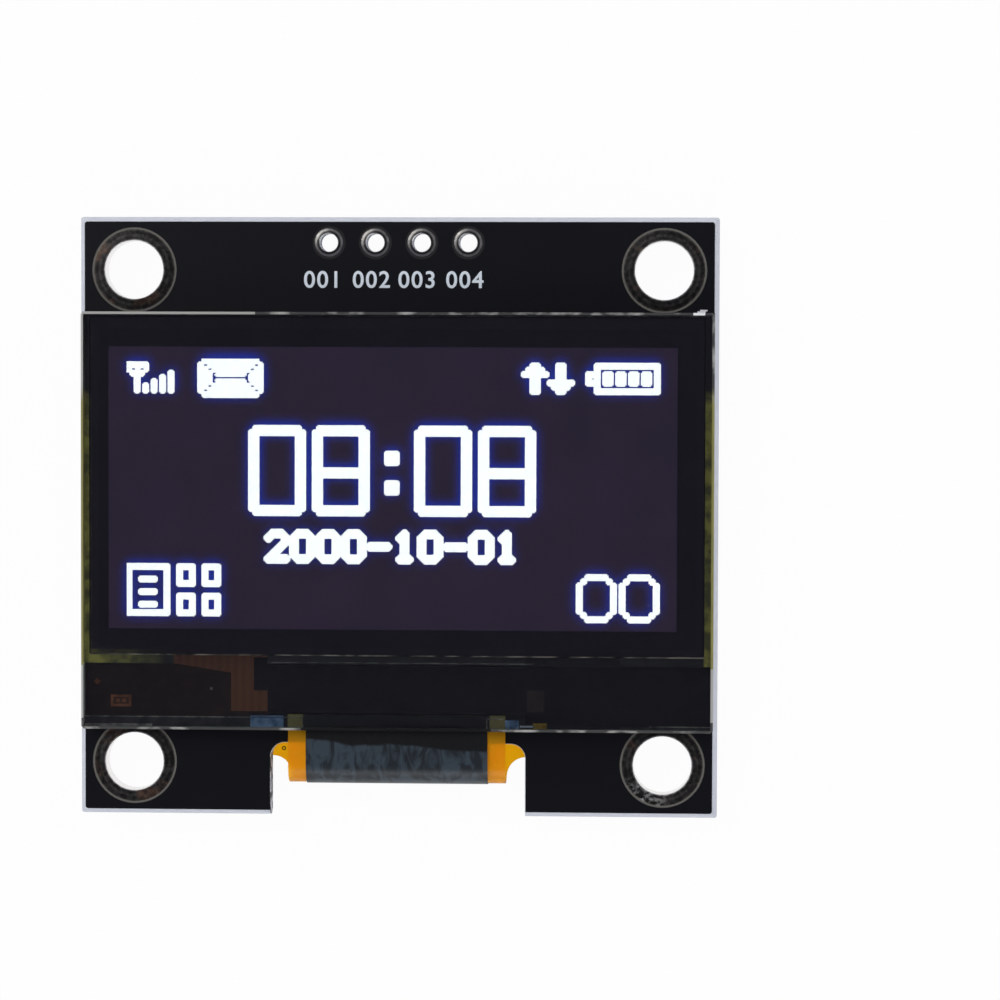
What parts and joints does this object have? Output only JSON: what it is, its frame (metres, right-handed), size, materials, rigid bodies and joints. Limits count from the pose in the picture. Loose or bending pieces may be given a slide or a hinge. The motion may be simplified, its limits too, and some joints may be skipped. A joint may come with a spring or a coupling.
{
  "type": "small OLED display module",
  "caption": "Small graphic display module: a lit glass panel taped to a circuit board with plated corner holes, a row of pin holes and a folded flexible tail.",
  "frame": {"origin": "centre of the four mounting holes, on the back face of the board core", "axes": "+Z the way the display faces, +Y towards the pin row, +X to the right of someone who reads the display"},
  "size_m": [0.035, 0.0328, 0.004],
  "materials": {
    "fr4_laminate": "cut glass-epoxy laminate",
    "black_solder_mask": "satin black solder mask",
    "ring_plating": "levelled solder, dulled",
    "pad_plating": "levelled solder, bright",
    "panel_tape": "black foam tape",
    "panel_glass": "clear display glass with seamed edges",
    "desiccant_sheet": "pressed drying sheet",
    "seal_epoxy": "cured olive epoxy",
    "electrode_film": "dark metal and oxide film",
    "emitter_film": "dark violet emitting film",
    "polariser_film": "smooth dark polarising film",
    "chip_silicon": "polished silicon",
    "black_resin": "cured black resin",
    "bonding_adhesive": "pressed conductive adhesive",
    "amber_polyimide": "smooth amber film",
    "black_coverlay": "satin black cover film",
    "finger_copper": "plated copper foil",
    "land_plating": "levelled solder",
    "solder_metal": "reflowed solder",
    "capacitor_ceramic": "fired tan ceramic",
    "resistor_ceramic": "black glass coat on white ceramic",
    "end_plating": "plated tin",
    "moulding_epoxy": "moulded black epoxy",
    "leg_plating": "plated tin",
    "legend_ink": "screen printed white ink",
    "lit_dots": "white light of the lit dots"
  },
  "bodies": {
    "root": {"board": "fr4_laminate", "front_mask": "black_solder_mask", "back_mask": "black_solder_mask", "panel_tape": "panel_tape", "cap_glass": "panel_glass", "desiccant": "desiccant_sheet", "edge_seal": "seal_epoxy", "electrode_layer": "electrode_film", "emitter_layer": "emitter_film", "substrate_glass": "panel_glass", "polariser": "polariser_film", "driver_chip": "chip_silicon", "chip_resin": "black_resin", "bonding_film": "bonding_adhesive", "flex_film": "amber_polyimide", "flex_coverlay": "black_coverlay", "flex_fingers": "finger_copper", "flex_lands": "land_plating", "flex_solder": "solder_metal", "component_lands": "land_plating", "component_solder": "solder_metal", "regulator_body": "moulding_epoxy", "regulator_leads": "leg_plating", "mounting_ring_1": "ring_plating", "pin_pad_1": "pad_plating", "mounting_ring_2": "ring_plating", "pin_pad_2": "pad_plating", "mounting_ring_3": "ring_plating", "pin_pad_3": "pad_plating", "mounting_ring_4": "ring_plating", "pin_pad_4": "pad_plating", "capacitor_1": "capacitor_ceramic", "capacitor_1_ends": "end_plating", "resistor_1": "resistor_ceramic", "resistor_1_ends": "end_plating", "capacitor_2": "capacitor_ceramic", "capacitor_2_ends": "end_plating", "resistor_2": "resistor_ceramic", "resistor_2_ends": "end_plating", "capacitor_3": "capacitor_ceramic", "capacitor_3_ends": "end_plating", "resistor_3": "resistor_ceramic", "resistor_3_ends": "end_plating", "capacitor_4": "capacitor_ceramic", "capacitor_4_ends": "end_plating", "resistor_4": "resistor_ceramic", "resistor_4_ends": "end_plating", "capacitor_5": "capacitor_ceramic", "capacitor_5_ends": "end_plating", "resistor_5": "resistor_ceramic", "resistor_5_ends": "end_plating", "capacitor_6": "capacitor_ceramic", "capacitor_6_ends": "end_plating", "resistor_6": "resistor_ceramic", "resistor_6_ends": "end_plating"}
  },
  "joints": []
}
